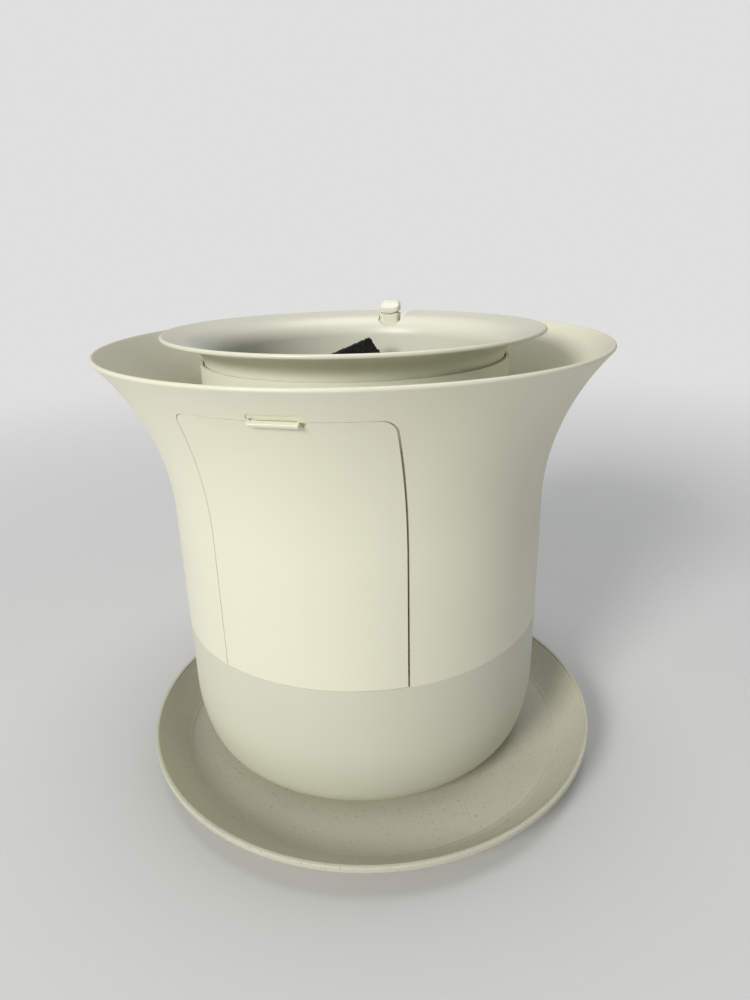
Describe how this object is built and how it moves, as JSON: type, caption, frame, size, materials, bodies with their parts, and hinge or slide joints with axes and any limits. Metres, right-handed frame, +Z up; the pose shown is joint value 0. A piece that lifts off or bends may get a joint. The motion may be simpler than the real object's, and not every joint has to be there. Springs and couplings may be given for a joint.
{
  "type": "food dehydrator",
  "caption": "Planter-shaped food dehydrator: flared two-tone pot in a saucer, pull-out rack of drying trays, lift-off collar with carbon filter, fan and heater in the base.",
  "frame": {"origin": "on the pot's axis, at the underside of the saucer's foot, level with the table", "axes": "+Z up, the front door and its finger lip face -Y, the switch post is at the back on +Y, +X to the right seen from the front"},
  "size_m": [0.3043, 0.3075, 0.281],
  "materials": {
    "pot_plastic": "moulded cream plastic, fine satin grain",
    "bowl_plastic": "moulded warm grey plastic, fine satin grain",
    "saucer_plastic": "moulded plastic with fine dark specks",
    "collar_plastic": "moulded pale grey-green plastic, smooth satin",
    "button_plastic": "moulded cream plastic, smooth",
    "rack_plastic": "moulded food-safe plastic",
    "dark_plastic": "moulded dark grey plastic",
    "black_plastic": "moulded black plastic",
    "component_black": "electronic parts, black epoxy and plastic",
    "board_green": "printed circuit board with green solder mask",
    "ceramic": "heat-resistant cream moulding",
    "rubber": "soft black rubber",
    "carbon_foam": "open-cell black foam with activated carbon",
    "stainless": "brushed stainless sheet",
    "steel": "zinc-plated steel",
    "nickel": "nickel-plated metal",
    "copper": "enamelled copper winding"
  },
  "bodies": {
    "saucer": {"saucer": "saucer_plastic"},
    "housing": {"upper_pot": "pot_plastic", "lower_bowl": "bowl_plastic", "rubber_feet": "rubber", "base_plate": "dark_plastic", "base_screws": "steel", "control_board": "board_green", "board_screws": "steel", "board_components": "component_black", "dc_inlet": "black_plastic", "inlet_nut": "nickel", "fan_deck": "dark_plastic", "deck_screws": "steel", "fan_frame": "black_plastic", "fan_motor": "copper", "heater_frame": "ceramic", "heater_coils": "nickel", "thermal_cutout": "component_black", "floor_grille": "stainless", "drying_chamber": "collar_plastic", "chamber_screws": "steel", "switch_post": "button_plastic", "contact_switch": "component_black", "runner_left": "dark_plastic", "runner_right": "dark_plastic", "keeper_plates": "nickel"},
    "tray_rack": {"front_door": "pot_plastic", "rack_panel": "collar_plastic", "door_spacers": "pot_plastic", "rack_side_left": "rack_plastic", "rack_side_right": "rack_plastic", "rack_magnets": "nickel", "tray_rim_1": "stainless", "tray_rim_2": "stainless", "tray_rim_3": "stainless", "tray_rim_4": "stainless", "tray_sheet_1": "stainless", "tray_sheet_2": "stainless", "tray_sheet_3": "stainless", "tray_sheet_4": "stainless"},
    "collar": {"collar": "collar_plastic", "filter_grille": "collar_plastic"},
    "filter": {"carbon_filter": "carbon_foam"},
    "fan_rotor": {"fan_rotor": "black_plastic", "fan_shaft": "steel"},
    "power_button": {"power_button": "button_plastic"}
  },
  "joints": [
    {"name": "pot_lift", "type": "slide", "parent": "saucer", "child": "housing", "axis": [0, 0, 1], "range_m": [0, 0.06]},
    {"name": "rack_pull", "type": "slide", "parent": "housing", "child": "tray_rack", "axis": [0, -1, 0], "range_m": [0, 0.13]},
    {"name": "collar_lift", "type": "slide", "parent": "housing", "child": "collar", "axis": [0, 0, 1], "range_m": [0, 0.08]},
    {"name": "filter_lift", "type": "slide", "parent": "collar", "child": "filter", "axis": [0, 0, 1], "range_m": [0, 0.05]},
    {"name": "fan_spin", "type": "hinge", "parent": "housing", "child": "fan_rotor", "pos_m": [0, 0, 0.07], "axis": [0, 0, 1], "continuous": true},
    {"name": "power_press", "type": "slide", "parent": "housing", "child": "power_button", "axis": [0, 0, -1], "range_m": [0, 0.0012], "stiffness_N_per_m": 1500, "springref_m": -0.0006}
  ]
}
